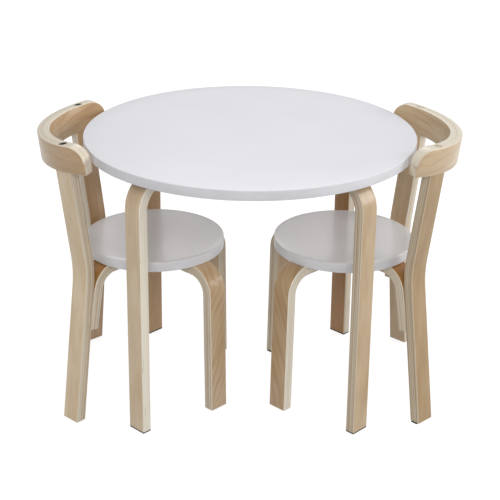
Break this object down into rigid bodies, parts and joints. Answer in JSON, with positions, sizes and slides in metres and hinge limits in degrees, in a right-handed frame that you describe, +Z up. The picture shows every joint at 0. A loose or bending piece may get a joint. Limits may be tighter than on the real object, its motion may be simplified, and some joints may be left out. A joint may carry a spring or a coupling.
{
  "type": "kids table and chairs",
  "caption": "Round children's table with bent plywood legs, and matching chairs with a round seat and a curved backrest, tucked under the top.",
  "frame": {"origin": "on the floor under the middle of the table top, which is also the bottom centre of the whole set", "axes": "+Z up, +X towards the right chair, +Y away from the viewer who has that chair on the right"},
  "size_m": [0.7646, 0.6, 0.5191],
  "materials": {
    "white_laminate": "white melamine on board, satin",
    "birch": "clear lacquered bent birch plywood, satin, with its plies showing on the edges",
    "black_pad": "black foam rubber, matt",
    "zinc_steel": "zinc plated",
    "black_steel": "black oxide"
  },
  "bodies": {
    "table": {"table_leg_front_left": "birch", "table_leg_front_right": "birch", "table_leg_rear_left": "birch", "table_leg_rear_right": "birch", "table_leg_screws": "zinc_steel", "table_pad_front_left": "black_pad", "table_pad_front_right": "black_pad", "table_pad_rear_left": "black_pad", "table_pad_rear_right": "black_pad", "table_top": "white_laminate"},
    "chair_left": {"chair_left_backrest": "birch", "chair_left_backrest_screws": "black_steel", "chair_left_bracket_front": "birch", "chair_left_bracket_rear": "birch", "chair_left_leg_front": "birch", "chair_left_leg_rear": "birch", "chair_left_pad_leg_front": "black_pad", "chair_left_pad_leg_rear": "black_pad", "chair_left_pad_post_front": "black_pad", "chair_left_pad_post_rear": "black_pad", "chair_left_post_front": "birch", "chair_left_post_rear": "birch", "chair_left_post_screws": "zinc_steel", "chair_left_seat": "white_laminate", "chair_left_seat_screws": "zinc_steel"},
    "chair_right": {"chair_right_backrest": "birch", "chair_right_backrest_screws": "black_steel", "chair_right_bracket_front": "birch", "chair_right_bracket_rear": "birch", "chair_right_hole_plugs": "birch", "chair_right_leg_front": "birch", "chair_right_leg_rear": "birch", "chair_right_pad_leg_front": "black_pad", "chair_right_pad_leg_rear": "black_pad", "chair_right_pad_post_front": "black_pad", "chair_right_pad_post_rear": "black_pad", "chair_right_post_front": "birch", "chair_right_post_rear": "birch", "chair_right_post_screws": "zinc_steel", "chair_right_seat": "white_laminate", "chair_right_seat_screws": "zinc_steel"}
  },
  "joints": [
    {"name": "chair_left_slide", "type": "slide", "parent": "table", "child": "chair_left", "axis": [-1, 0, 0], "range_m": [0, 0.35]},
    {"name": "chair_right_slide", "type": "slide", "parent": "table", "child": "chair_right", "axis": [1, 0, 0], "range_m": [0, 0.35]}
  ]
}
